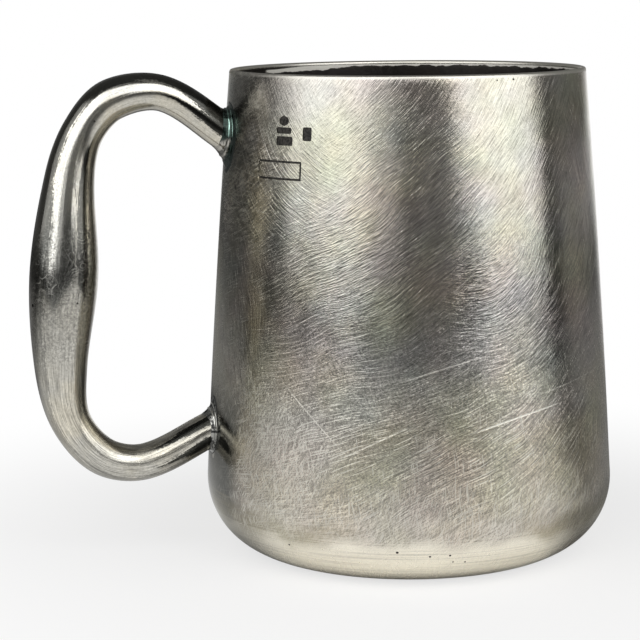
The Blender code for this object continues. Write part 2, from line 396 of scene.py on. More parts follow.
stagePiece("floor", floorFinish(), 2 * floorLook["reach"], 2 * floorLook["reach"],
           Matrix.Translation((0, 0, -0.02 * mm)))
cardFinish, cardShader = newFinish("whiteCard")
setInputs(cardShader, {"Base Color": (0.9, 0.9, 0.9)})
whiteSeen(cardShader, 1.0, behindMask(addNode("TexCoord")["Object"]))
stagePiece("backCard", cardFinish, floorLook["cardWidth"], floorLook["cardHeight"],
           Matrix.Translation(viewAway * floorLook["cardDistance"] + Vector((0, 0, floorLook["cardHeight"] / 2)))
           @ Matrix.Rotation(math.radians(cameraBearing + 90), 4, "Z") @ Matrix.Rotation(math.pi / 2, 4, "X"))

print("profile of the drum")

drum = {
    "height": 107.5,
    "rimRadius": 39.15,
    "shoulderRadius": 45.43,
    "cornerWidth": 16.05,
    "cornerHeight": 16.5,
    "wallBulge": 0.4,
    "wall": 1.2,
    "seatWidth": 2.6,
    "turns": 288,
    "wallRows": 64,
    "cornerRows": 26,
    "lipRows": 12,
    "dentDepth": 0.05,
    "dentWidth": 26.0,
    "insideFrom": 0.7,
    "insideFade": 0.25,
}
footRadius = drum["shoulderRadius"] - drum["cornerWidth"]
footHole = footRadius - drum["seatWidth"]


def wallLine(height):
    # outer radius of the wall above the corner, and how it changes with height
    span = drum["height"] - drum["cornerHeight"]
    share = (height - drum["cornerHeight"]) / span
    taper = drum["rimRadius"] - drum["shoulderRadius"]
    bulge = 4 * drum["wallBulge"]
    radius = drum["shoulderRadius"] + taper * share + bulge * share * (1 - share)
    return radius, (taper + bulge * (1 - 2 * share)) / span


def wallPoint(height, inset):
    radius, slope = wallLine(height)
    return Vector((radius, height)) - Vector((1, -slope)).normalized() * inset


def cornerPoint(angle, inset):
    wide, high = drum["cornerWidth"], drum["cornerHeight"]
    point = Vector((footRadius + wide * math.cos(angle), high + high * math.sin(angle)))
    return point - Vector((math.cos(angle) / wide, math.sin(angle) / high)).normalized() * inset


def blendAngle():
    # where the corner's curve has the slope of the wall
    slope = wallLine(drum["cornerHeight"])[1]
    return math.atan(-slope * drum["cornerHeight"] / drum["cornerWidth"])


def outerRadius(height):
    high = drum["cornerHeight"]
    if height >= high + high * math.sin(blendAngle()):
        return wallLine(height)[0]
    sine = max(-1.0, (height - high) / high)
    return footRadius + drum["cornerWidth"] * math.sqrt(1 - sine * sine)


def sidePoints(inset, top):
    # the drum's side from the top down to the foot, as (radius, height)
    blend = blendAngle()
    low = drum["cornerHeight"] * (1 + math.sin(blend))
    rows, turns = drum["wallRows"], drum["cornerRows"]
    points = [wallPoint(top + (low - top) * i / rows, inset) for i in range(rows)]
    return points + [cornerPoint(blend - (math.pi / 2 + blend) * i / turns, inset) for i in range(turns + 1)]


def spun(profile, turns, closed):
    # turn a chain of (radius, height) points about the upright axis
    bm = bmesh.new()
    verts = [bm.verts.new((point[0], 0, point[1])) for point in profile]
    edges = [bm.edges.new(pair) for pair in zip(verts, verts[1:])]
    if closed:
        edges.append(bm.edges.new((verts[-1], verts[0])))
    bmesh.ops.spin(bm, geom=verts + edges, cent=(0, 0, 0), axis=(0, 0, 1), dvec=(0, 0, 0), angle=math.tau,
                   steps=turns, use_merge=True, use_duplicate=False, use_normal_flip=False)
    bmesh.ops.remove_doubles(bm, verts=bm.verts, dist=0.0005)
    bmesh.ops.recalc_face_normals(bm, faces=bm.faces)
    return bm


def dentAt(point):
    # how far the hammered and knocked sheet lies inside its true form
    direction = Vector((point.x, point.y, 0)).normalized() * 40
    at = Vector((direction.x, direction.y, point.z)) / drum["dentWidth"]
    coarse = 0.5 + 0.5 * noise.noise(at)
    fine = 0.5 + 0.5 * noise.noise(at * 2.3 + Vector((7, 3, 1)))
    return drum["dentDepth"] * (0.75 * coarse + 0.25 * fine)


def curved(start, pull, end, share):
    return start * (1 - share) ** 2 + pull * 2 * share * (1 - share) + end * share ** 2


def finishPiece(bm, name, finish, nodeName, sharpAngle):
    # scale to metres, make the object and hand it to the frame
    bmesh.ops.scale(bm, vec=(mm, mm, mm), verts=bm.verts)
    placeMesh(meshFrom(bm, name), name, [finish], nodeName, sharpAngle)


def placeMesh(mesh, name, finishes, nodeName, sharpAngle=40):
    for finish in finishes[len(mesh.materials):]:
        mesh.materials.append(finish)
    mesh.shade_smooth()
    mesh.set_sharp_from_angle(angle=math.radians(sharpAngle))
    made = linked(name, mesh)
    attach(made, "root")
    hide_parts(nodeName)


def tempObject(bm, name, finishes):
    mesh = meshFrom(bm, name)
    for finish in finishes:
        mesh.materials.append(finish)
    return linked(name, mesh)


def takeAway(body, cutters):
    # cut every cutter out of the body and give back the finished mesh, without the helper objects
    for cutter in cutters:
        step = body.modifiers.new(cutter.name, "BOOLEAN")
        step.operation = "DIFFERENCE"
        step.solver = "EXACT"
        step.object = cutter
    depsgraph = bpy.context.evaluated_depsgraph_get()
    mesh = bpy.data.meshes.new_from_object(body.evaluated_get(depsgraph))
    for used in [body] + cutters:
        bpy.data.objects.remove(used, do_unlink=True)
    return mesh


def scaledMesh(mesh, name):
    mesh.name = name
    mesh.transform(Matrix.Scale(mm, 4))
    return mesh


print("silver of the drum")

drumSilver = {
    "colour": (0.475, 0.460, 0.412),
    "warmColour": (0.535, 0.500, 0.425),
    "darkColour": (0.34, 0.322, 0.288),
    "footAndFloorReflectionColour": (0.93, 0.88, 0.755),
    "lowColour": (0.465, 0.422, 0.345),
    "oliveColour": (0.40, 0.36, 0.25),
    "hairColour": (0.80, 0.78, 0.71),
    "insideShadeColour": (0.085, 0.078, 0.072),
    "smearColour": (0.72, 0.70, 0.64),
    "tarnishAndDarkReflectionColour": (0.10, 0.105, 0.095),
    "roughness": 0.10,
    "wipeAndLipHighlightColour": (0.70, 0.68, 0.62),
    "smoothDarkReflectionColour": (0.068, 0.080, 0.084),
    "paintedContactShadeColour": (0.26, 0.235, 0.19),
    "scuffColour": (0.62, 0.575, 0.485),
    "unrolledRadius": 42.0,
    "strokeDepth": 0.028,
    "strokeTone": 1.35,
    "joints": [((-40.0, 0, 94.5), 7.0, 17.0), ((-45.0, 0, 26.0), 4.0, 9.0)],
    "wipes": [((-40.1, 0.6, 100.2), 1.5), ((-45.1, -1.5, 23.6), 1.4)],
}


def strokes(spot, centre, width, length, seed, detail):
    # rubbing strokes that follow arcs round a centre on the unrolled wall
    right, rise = spot[0] - centre[0], spot[1] - centre[1]
    reach = calc("SQRT", right * right + rise * rise)
    swing = calc("ARCTAN2", rise, right) * (100.0 / length)
    return cloud(asVector(reach / width, swing, seed), 1.0, detail, 0.6)


def longScratch(spot, start, end, width, bow):
    # one long scratch on the unrolled wall, bowed to one side in the middle
    radius = drumSilver["unrolledRadius"]
    start, end = [Vector((math.radians(angle) * radius, height)) for angle, height in (start, end)]
    length, run = (end - start).length, (end - start).normalized()
    right, rise = spot[0] - start.x, spot[1] - start.y
    along = timesPlus(right, run.x, rise * run.y)
    off = timesPlus(rise, run.x, right * -run.y)
    share = along / length
    arch = share * (1.0 - share) * (4 * bow)
    line = falling(abs(off - arch), width * 0.4, width)
    return line * (between(along, 0.0, length * 0.3) * falling(along, length * 0.75, length))


def regionAt(spot, centre, near, far):
    # 1 round a spot of the unrolled wall, falling to 0 between the near and the far distance
    right, rise = spot[0] - centre[0], spot[1] - centre[1]
    return falling(calc("SQRT", timesPlus(right, right, rise * rise)), near, far)


# Angle and height of either end, width and bow in millimetres, strength
longScratches = [
    ((-91, 33.3), (-56, 38.4), 0.20, 0.8, 1.0),
    ((-72, 40.2), (-30, 43.6), 0.13, 0.4, 0.5),
    ((-126, 27.8), (-102, 37.0), 0.15, 0.0, 0.6),
    ((-112, 43.8), (-82, 50.4), 0.12, 0.3, 0.45),
    ((-143, 44.5), (-121, 29.0), 0.15, 0.3, 0.5),
    ((-158, 101), (-124, 79.2), 0.16, -4.6, 0.55),
    ((-154, 99), (-128, 82.2), 0.12, -3.4, 0.4),
    ((40, 70.0), (75, 52.0), 0.15, 0.8, 0.6),
    ((120, 46.0), (150, 62.0), 0.13, -0.7, 0.5),
]


def drumFinish():
    finish, shader = newFinish("wornDrumSilver")
    # the point unrolled from the drum: along the wall to the right, and up, in millimetres
    whole, x, y, up = objectPoint()
    across = calc("ARCTAN2", y, x) * drumSilver["unrolledRadius"]
    # a slow warp bends the strokes, so that none runs quite true
    warp = threeClouds(whole, 0.05, 1.0)
    bentAcross = timesPlus(warp[0], 5.0, across)
    bentUp = timesPlus(warp[1], 5.0, up)
    bent = (bentAcross, bentUp)
    patches = threeClouds(whole, 0.085, 2.0)
    # each part of the front has one main direction of rubbing, and the far side is rubbed in patches
    inFront = falling(abs(bentAcross + 78.0), 40.0, 54.0)
    behind = 1.0 - inFront
    inRight = regionAt(bent, (-50.0, 61.0), 11.0, 24.0)
    inLeft = regionAt(bent, (-108.0, 93.0), 12.0, 24.0)
    inLevel = greatest([regionAt(bent, (-64.0, 47.0), 7.0, 17.0),
                        regionAt(bent, (-92.0, 44.0), 12.0, 26.0),
                        behind * between(patches[1], 0.5, 0.62)])
    leftEdge = falling(bentAcross, -111.0, -101.0) * falling(bentUp, 66.0, 84.0)
    inLevel = inLevel * (1.0 - leftEdge)
    inSteep = larger(leftEdge, behind * between(patches[0], 0.46, 0.6))
    inFalling = behind * between(patches[2], 0.52, 0.64)
    inStipple = greatest([regionAt(bent, (-112.0, 24.0), 16.0, 32.0),
                          between(bentUp, 20.0, 32.0, 0.8, 0.0)])
    elsewhere = timesPlus(greatest([inRight, inLeft, inLevel, inSteep]), -0.8, 1.0)
    beside = between(abs(bentAcross), 98.0, 112.0) * between(up, 66.0, 80.0)
    height = 0.0
    for *arc, share, here in (
            ((-139.0, 171.0), 0.28, 3.8, 0.0, 1.1, elsewhere),
            ((-187.0, 208.0), 0.21, 2.4, 3.0, 1.0, elsewhere),
            ((-187.0, 38.0), 0.34, 7.0, 6.0, 1.5, inSteep),
            ((-247.0, 640.0), 0.24, 0.60, 9.0, 0.6, inLevel),
            ((-210.0, -60.0), 0.28, 3.4, 12.0, 1.1, inFalling),
            ((-63.0, 80.0), 0.28, 14.0, 15.0, 1.2, inRight),
            ((-76.5, 119.7), 0.28, 11.0, 18.0, 1.2, inLeft),
            ((-137.0, 140.0), 0.45, 6.0, 70.0, 1.3, beside),
            ((-187.0, 38.0), 0.30, 3.0, 50.0, 1.2, inStipple),
            ((-200.0, 110.0), 0.28, 3.0, 55.0, 1.2, inStipple)):
        height = timesPlus(strokes(bent, *arc, 1.5) - 0.5, here * share, height)
    # the grain between the strokes is coarser towards the foot
    grain = cloud(whole, 2.0, 3.0, 0.75) - 0.5
    height = timesPlus(grain, between(up, 40.0, 70.0, 1.35, 0.75), height)
    height = height * between(up, 30.0, 64.0, 1.2, 0.85)
    # single scratches, which scatter light and so show pale on the dark ground
    shifted = addNode("VectorMath", {0: whole, 1: (31, 7, 12)}, operation="ADD")[0]
    someHere = between(cloud(whole, 0.25, 1.0), 0.36, 0.6, 0.25, 1.0)
    othersHere = between(cloud(shifted, 0.22, 1.0), 0.42, 0.64) * between(up, 50.0, 62.0, 1.0, 0.25)
    hairKinds = (((-150.0, 180.0), 0.24, 5.0, 21.0, someHere),
                 ((-190.0, 20.0), 0.25, 5.5, 27.0, othersHere),
                 ((-200.0, 420.0), 0.23, 1.5, 33.0, inLevel),
                 ((-63.0, 80.0), 0.24, 22.0, 39.0, inRight),
                 ((-76.5, 119.7), 0.25, 15.0, 45.0, inLeft),
                 ((-210.0, -60.0), 0.25, 5.0, 48.0, inFalling),
                 ((-175.0, 60.0), 0.25, 4.2, 60.0, inStipple),
                 ((-187.0, -3.0), 0.24, 4.0, 72.0, inStipple),
                 ((-100.0, 190.0), 0.24, 6.0, 66.0, beside))
    hairs = greatest(between(strokes(bent, *arc, 0.0), 0.6, 0.74) * here for *arc, here in hairKinds)
    hairs = hairs * between(up, 28.0, 50.0, 1.5, 0.65)
    scratchSum = greatest(longScratch((across, up), *ends) * strength for *ends, strength in longScratches)
    # turned lines round the foot, where the rubbing never reached
    lathe = cloud(asVector(across * 0.03, up * 2.6, 4.0), 1.0, 2.0)
    footLine = timesPlus(patches[1], 7.0, timesPlus(lathe, 6.0, up))
    footHere = falling(footLine, 14.5, 18.5)
    height = height * timesPlus(footHere, -0.35, 1.0)
    # beside the lower joint no hand or cloth reaches, and the metal is still smooth; its near-black colour there
    # is a painted dark reflection
    smoothWithDarkReflection = between(abs(bentAcross), 112.0, 119.0) * falling(bentUp, 32.0, 44.0)
    notSmooth = timesPlus(smoothWithDarkReflection, -0.85, 1.0)
    height = height * notSmooth
    hairs = hairs * notSmooth
    height = timesPlus((lathe - 0.5) * footHere, 1.2, height)
    relief = timesPlus(hairs, -0.3, height)
    relief = timesPlus(scratchSum, -1.0, relief)
    bumped(shader, relief, drumSilver["strokeDepth"])

    stain = cloud(whole, 0.075, 3.0, 0.6)
    bench["colour"] = blendColour(between(stain, 0.35, 0.7), drumSilver["colour"], drumSilver["warmColour"])
    coat(between(patches[2], 0.35, 0.75, 0.0, 0.5), drumSilver["darkColour"])
    coat(between(up, 18.0, 50.0, 0.65, 0.0), drumSilver["lowColour"])
    # tarnish tints the metal olive in one place, brown or bluish in the next
    tints = threeClouds(shifted, 0.055, 2.0)
    tone = clamped(timesPlus(height, drumSilver["strokeTone"], 1.0), 0.45, 1.7)
    tintRanges = ((0.955, 1.035), (0.965, 1.025), (0.9, 1.06))
    tinted = [tone * between(tints[k], 0.3, 0.7, *tintRange) for k, tintRange in enumerate(tintRanges)]
    coat(1.0, asColour(*tinted), "MULTIPLY")
    coat(inStipple * 0.35, drumSilver["scuffColour"])
    # painted dark reflection on the smooth metal beside the lower joint
    coat(smoothWithDarkReflection * 0.95, drumSilver["smoothDarkReflectionColour"])
    coat(hairs * 0.3, drumSilver["hairColour"])
    coat(scratchSum * 0.8, drumSilver["hairColour"])
    olive = between(footLine, 12.0, 16.0) * between(footLine, 18.0, 23.0, 0.7, 0.0)
    olive = olive * between(abs(bentAcross + 69.0), 12.0, 24.0, 0.1, 1.0)
    olive = olive * between(patches[0], 0.35, 0.6, 1.0, 0.5)
    coat(olive, drumSilver["oliveColour"])
    # the turned band round the foot is painted pale cream, partly its own tone and partly a painted reflection of
    # the bright floor
    lathed = between(lathe, 0.3, 0.58, 0.55, 1.0)
    coat(footHere * lathed, drumSilver["footAndFloorReflectionColour"])
    # painted shade: the lowest few millimetres are darkened, standing in for the reflected contact shadow under
    # the foot
    coat(between(up, 0.8, 4.0, 0.6, 0.0), drumSilver["paintedContactShadeColour"])
    # dark tarnish round the two joints of the handle, together with a painted dark reflection of the handle in the
    # wall
    jointTarnishAndReflection = 0.0
    for centre, near, far in drumSilver["joints"]:
        gap = timesPlus(patches[0], 9.0, vectorMath("DISTANCE", whole, centre))
        jointTarnishAndReflection = larger(jointTarnishAndReflection, falling(gap, near + 4.5, far + 4.5))
    coat(jointTarnishAndReflection * 0.85, drumSilver["tarnishAndDarkReflectionColour"])
    besideHandle = between(abs(across), 100.0, 122.0)
    # painted shade on the wall beside the handle, strongest low down
    paintedShadeBesideHandle = besideHandle * between(up, 26.0, 46.0, 0.5, 0.08)
    coat(paintedShadeBesideHandle, darker(drumSilver["darkColour"], 0.45))
    rimTarnish = regionAt(bent, (-112.0, 107.0), 5.0, 17.0)
    coat(rimTarnish * 0.55, darker(drumSilver["darkColour"], 0.7))
    # the scratches lie over the tarnish and the painted shade beside the handle
    coat(beside * 0.7, asColour(tone, tone, tone), "MULTIPLY")
    coat(besideHandle * timesPlus(hairs, 0.4, scratchSum * 0.8), drumSilver["hairColour"])
    nearHandle = besideHandle * between(up, 50.0, 70.0)
    # pale wipes of solder above the upper joint and below the lower one
    wipes = 0.0
    for centre, reach in drumSilver["wipes"]:
        gap = timesPlus(grain, 1.2, vectorMath("DISTANCE", whole, centre))
        wipes = larger(wipes, falling(gap, reach * 0.7, reach))
    coat(wipes * 0.8, drumSilver["wipeAndLipHighlightColour"])
    # the inside is painted near-black as shade in the hollow, but for a ragged pale smear just under the lip,
    # which is rubbed bright
    lipHere = between(up, 106.55, 106.9)
    isInside = addNode("Attribute", attribute_name="inside")["Fac"] * (1.0 - lipHere)
    coat(isInside, drumSilver["insideShadeColour"])
    smearDeep = between(across, 66.0, 82.0) * falling(across, 103.0, 105.0)
    smearEdge = timesPlus(cloud(whole, 0.3, 3.0, 0.6), 1.6, timesPlus(smearDeep, 0.85, up))
    smear = isInside * (between(smearEdge, 107.0, 107.2) * falling(across, 97.0, 98.5))
    smear = smear * falling(timesPlus(between(across, 80.0, 96.0), 0.5, up), 106.6, 106.8)
    coat(smear, drumSilver["smearColour"])
    # painted highlight along the lip, fainter near the handle
    paintedLipHighlight = lipHere * between(abs(across), 104.0, 120.0, 0.8, 0.15)
    coat(paintedLipHighlight, drumSilver["wipeAndLipHighlightColour"])
    setInputs(shader, {"Base Color": bench["colour"], "Metallic": timesPlus(smear, -0.85, 1.0),
                       "Specular Tint": (0.9, 0.9, 0.88)})
    rough = timesPlus(stain, 0.1, drumSilver["roughness"] - 0.03)
    rough = timesPlus(between(height, 0.0, 0.5), 0.17, rough)
    rough = timesPlus(larger(hairs, scratchSum), 0.13, rough)
    rough = timesPlus(nearHandle, 0.09, rough)
    rough = timesPlus(larger(wipes, larger(isInside, lipHere)), 0.2, rough)
    setInputs(shader, {"Roughness": rough * timesPlus(smoothWithDarkReflection, -0.5, 1.0)})
    return finish


def markFinish():
    finish, shader = newFinish("blackenedRecess")
    grain = cloud(objectPoint()[0], 2.2, 3.0)
    colour = blendColour(between(grain, 0.35, 0.65), (0.012, 0.011, 0.01), (0.06, 0.056, 0.05))
    setInputs(shader, {"Base Color": colour, "Metallic": 0.6, "Roughness": 0.6})
    bumped(shader, grain, 0.05)
    return finish


drumFinishes = [drumFinish(), markFinish()]

print("drum")

# Blank punches struck below the rim beside the handle: angle round the drum, height, width and tallness.
punches = {
    "depth": 0.26,
    "standProud": 0.9,
    "flare": 0.10,
    "corner": 0.35,
    "oval": (-144.7, 97.95, 2.7, 2.0),
    "bars": [(-144.6, 95.95, 4.1, 1.3), (-144.3, 93.8, 4.5, 1.9), (-135.9, 95.4, 2.2, 2.8)],
    "tablet": (-146.4, 87.7, 12.4, 3.8),
    "tabletLine": 0.42,
}
# Casting pits: angle, height and radius
pits = [(-108.0, 9.15, 0.34), (-99.0, 8.1, 0.27), (-93.4, 8.2, 0.27), (-92.2, 6.5, 0.22), (-88.6, 6.3, 0.22),
        (-140.4, 8.6, 0.24), (-77.1, 106.2, 0.20), (-71.3, 106.3, 0.24), (-20.0, 8.8, 0.28), (35.0, 7.4, 0.25),
        (92.0, 9.6, 0.30), (118.0, 6.9, 0.22), (66.0, 61.0, 0.20), (141.0, 12.0, 0.26)]


def wrapOnDrum(verts, angle, height):
    # bend flat work (right, up, outward) round the wall at an angle and height
    radius = outerRadius(height)
    for vert in verts:
        turn = math.radians(angle) + vert.co.x / radius
        level = height + vert.co.y
        out = outerRadius(level) + vert.co.z
        vert.co = (out * math.cos(turn), out * math.sin(turn), level)


def raisePunch(bm, angle, height):
    # thicken a flat outline from the recess's floor to above the wall, then bend it round the drum
    bmesh.ops.triangulate(bm, faces=bm.faces)
    bmesh.ops.translate(bm, vec=(0, 0, -punches["depth"]), verts=bm.verts)
    made = bmesh.ops.extrude_face_region(bm, geom=list(bm.faces), use_keep_orig=True)
    lifted = [part for part in made["geom"] if isinstance(part, bmesh.types.BMVert)]
    bmesh.ops.translate(bm, vec=(0, 0, punches["depth"] + punches["standProud"]), verts=lifted)
    bmesh.ops.recalc_face_normals(bm, faces=bm.faces)
    for face in bm.faces:
        face.material_index = 1 if face.calc_center_median().z < -punches["depth"] * 0.9 else 0
    # sides that slope outwards catch the light
    flare = punches["flare"] * (punches["depth"] + punches["standProud"]) / punches["depth"]
    wide = max(vert.co.x for vert in bm.verts)
    tall = max(vert.co.y for vert in bm.verts)
    if min(abs(vert.co.x) / wide + abs(vert.co.y) / tall for vert in bm.verts) > 0.9:
        flare = 0
    for vert in lifted:
        vert.co.x *= 1 + flare / wide
        vert.co.y *= 1 + flare / tall
    wrapOnDrum(bm.verts, angle, height)


def ovalPunch(wide, tall):
    bm = bmesh.new()
    bmesh.ops.create_circle(bm, cap_ends=True, radius=0.5, segments=40)
    bmesh.ops.scale(bm, vec=(wide, tall, 1), verts=bm.verts)
    return bm


def barPunch(wide, tall):
    bm = flatGrid(wide, tall)
    bmesh.ops.bevel(bm, geom=list(bm.verts), offset=punches["corner"], offset_type="OFFSET", segments=4,
                    profile=0.5, affect="VERTICES", material=-1)
    return bm


def tabletPunch(wide, tall):
    # only the outline of the tablet is struck, as one line round a blank field
    bm = flatGrid(wide, tall, 14, 4)
    field = [face for face in bm.faces if len(face.verts) == 4]
    bmesh.ops.inset_region(bm, faces=field, thickness=punches["tabletLine"], depth=0, use_boundary=True,
                           use_even_offset=True)
    across, up = wide / 2 - punches["tabletLine"], tall / 2 - punches["tabletLine"]
    inside = [face for face in bm.faces if abs(face.calc_center_median().x) < across
              and abs(face.calc_center_median().y) < up]
    bmesh.ops.delete(bm, geom=inside, context="FACES")
    return bm


def punchCutter():
    struck = [(ovalPunch(*punches["oval"][2:]), *punches["oval"][:2])]
    struck += [(barPunch(*bar[2:]), *bar[:2]) for bar in punches["bars"]]
    struck.append((tabletPunch(*punches["tablet"][2:]), *punches["tablet"][:2]))
    joined = bmesh.new()
    for bm, angle, height in struck:
        raisePunch(bm, angle, height)
        mesh = meshFrom(bm, "punch")
        joined.from_mesh(mesh)
        bpy.data.meshes.remove(mesh)
    for angle, height, radius in pits:
        turn = math.radians(angle)
        out = outerRadius(height) + radius * 0.25
        at = Matrix.Translation((out * math.cos(turn), out * math.sin(turn), height))
        made = bmesh.ops.create_icosphere(joined, subdivisions=2, radius=radius, matrix=at)
        for face in {face for vert in made["verts"] for face in vert.link_faces}:
            face.material_index = 1
    return tempObject(joined, "punches", drumFinishes)


def drumShape():
    lipRadius = drum["wall"] / 2
    lean = math.atan(-wallLine(drum["height"])[1])
    lipHeight = drum["height"] - lipRadius * (1 - math.sin(lean))
    outer, inner = sidePoints(0, lipHeight), sidePoints(drum["wall"], lipHeight)
    middle = (outer[0] + inner[0]) / 2
    lip = []
    for i in range(1, drum["lipRows"]):
        angle = lean + math.pi * (1 - i / drum["lipRows"])
        lip.append(middle + lipRadius * Vector((math.cos(angle), math.sin(angle))))
    foot = [Vector((footHole + 0.25, 0)), Vector((footHole + 0.07, 0.07)), Vector((footHole, 0.25)),
            Vector((footHole, drum["wall"] - 0.2)), Vector((footHole + 0.2, drum["wall"]))]
    return spun(outer + foot + inner[::-1] + lip, drum["turns"], True)


def makeDrum():
    bm = drumShape()
    for vert in bm.verts:
        flat = Vector((vert.co.x, vert.co.y, 0))
        if vert.co.z > 2.0:
            vert.co -= flat.normalized() * dentAt(vert.co)
    body = tempObject(bm, "drumWall", drumFinishes)
    mesh = scaledMesh(takeAway(body, [punchCutter()]), "tankard_drum")
    inside = mesh.attributes.new("inside", "FLOAT", "POINT")
    for vert in mesh.vertices:
        point = vert.co / mm
        reach = math.hypot(point.x, point.y)
        if point.z > drum["cornerHeight"]:
            depth = wallLine(point.z)[0] - reach
        else:
            depth = outerRadius(max(point.z, 0.4)) - reach + 0.001
            depth = drum["wall"] if reach < footHole + 0.3 else depth
        inside.data[vert.index].value = min(1.0, max(0.0, (depth - drum["insideFrom"]) / drum["insideFade"]))
    placeMesh(mesh, "tankard_drum", drumFinishes, "body_wall")


makeDrum()

print("line of the handle")

# Out is 0 on the line between the joints and 1 at the swell, up is 0 at the lower joint and 1 at the upper
# one, and full is 0 at the neck's radius and 1 at the swell's.
handle = {
    "upperDrop": 13.2,
    "lowerHeight": 28.45,
    "fingerGap": 26.75,
    "neck": 3.9,
    "swell": 7.41,
    "wall": 0.9,
    "root": 3.0,
    "rings": 14,
    "sides": 72,
    "seam": 0.035,
    "seamRound": 0.14,
    "cutInset": 0.55,
    "cutTurns": 144,
    "unrolledRadius": 5.5,
    "outline": [
        (0.000, 0.990, 0.02), (0.425, 1.129, 0.00), (0.746, 1.114, 0.18), (0.918, 1.013, 0.18),
        (0.989, 0.865, 0.42), (1.000, 0.545, 1.00), (0.995, 0.239, 0.52), (0.919, 0.058, 0.15),
        (0.700, -0.070, 0.09), (0.420, -0.094, 0.03), (0.000, 0.007, 0.00),
    ],
    "vent": {"height": 58.3, "turn": 22, "radius": 0.36},
    "pits": [(53.0, 18, 0.26), (59.0, 110, 0.24), (97.5, 96, 0.25), (71.0, 150, 0.2), (47.0, -30, 0.22)],
}


def smoothLine(stations, steps):
    knots = [0.0]
    for a, b in zip(stations, stations[1:]):
        knots.append(knots[-1] + (b.xyz - a.xyz).length)
    last = len(stations) - 1
    slopes = []
    for i in range(last + 1):
        before, after = max(i - 1, 0), min(i + 1, last)
        slopes.append((stations[after] - stations[before]) / (knots[after] - knots[before]))
    line = []
    for i in range(last):
        span = knots[i + 1] - knots[i]
        for k in range(steps):
            u = k / steps
            line.append(stations[i] * (2 * u ** 3 - 3 * u ** 2 + 1) + slopes[i] * span * (u ** 3 - 2 * u ** 2 + u)
                        + stations[i + 1] * (3 * u ** 2 - 2 * u ** 3) + slopes[i + 1] * span * (u ** 3 - u ** 2))
    return line + [stations[last]]


def handleLine(root):
    # middle of the handle with its radius as the fourth value, run on by root inside the drum
    upperHeight = drum["height"] - handle["upperDrop"]
    upper = Vector((-outerRadius(upperHeight), 0, upperHeight))
    lower = Vector((-outerRadius(handle["lowerHeight"]), 0, handle["lowerHeight"]))
    swellUp = max(handle["outline"], key=lambda station: station[2])[1]
    swellMiddle = lower.lerp(upper, swellUp)
    reach = outerRadius(swellMiddle.z) + handle["fingerGap"] + handle["swell"] + swellMiddle.x
    stations = []
    for out, up, full in handle["outline"]:
        place = lower + (upper - lower) * up - Vector((out * reach, 0, 0))
        stations.append(Vector((*place, handle["neck"] + (handle["swell"] - handle["neck"]) * full)))
    line = smoothLine(stations, handle["rings"])
    upperRoot = line[0] + Vector((*(line[0] - line[1]).xyz.normalized() * root, 0))
    lowerRoot = line[-1] + Vector((*(line[-1] - line[-2]).xyz.normalized() * root, 0))
    return [upperRoot] + line + [lowerRoot]


gripLine = handleLine(handle["root"])


def lineFrame(line, i):
    # side, across and along directions of the line at a ring, as a matrix with its place
    ahead, behind = line[min(i + 1, len(line) - 1)], line[max(i - 1, 0)]
    along = (ahead.xyz - behind.xyz).normalized()
    side = Vector((0, 1, 0))
    across = along.cross(side)
    turn = Matrix((side, across, along)).transposed().to_4x4()
    return Matrix.Translation(line[i].xyz) @ turn


def tubeShape(line):
    # one ring of the handle at each point of its line, joined one to the next
    bm = bmesh.new()
    rings = []
    for i in range(len(line)):
        made = bmesh.ops.create_circle(bm, cap_ends=False, radius=line[i].w, segments=handle["sides"],
                                       matrix=lineFrame(line, i))
        rings.append(sorted({edge for vert in made["verts"] for edge in vert.link_edges}, key=lambda e: e.index))
    for a, b in zip(rings, rings[1:]):
        bmesh.ops.bridge_loops(bm, edges=a + b)
    bmesh.ops.recalc_face_normals(bm, faces=bm.faces)
    return bm


print("silver of the handle")

gripSilver = {
    "colour": (0.52, 0.505, 0.455),
    "warmColour": (0.60, 0.565, 0.475),
    "darkColour": (0.30, 0.295, 0.27),
    "blackTarnishAndReflectionColour": (0.075, 0.076, 0.070),
    "crustAndDarkReflectionColour": (0.012, 0.013, 0.011),
    "palmPolishAndHighlightColour": (0.66, 0.65, 0.605),
    "stainAndDarkReflectionColour": (0.16, 0.162, 0.153),
    "scratchColour": (0.78, 0.76, 0.7),
    "roughness": 0.10,
    "rubbing": 0.017,
}


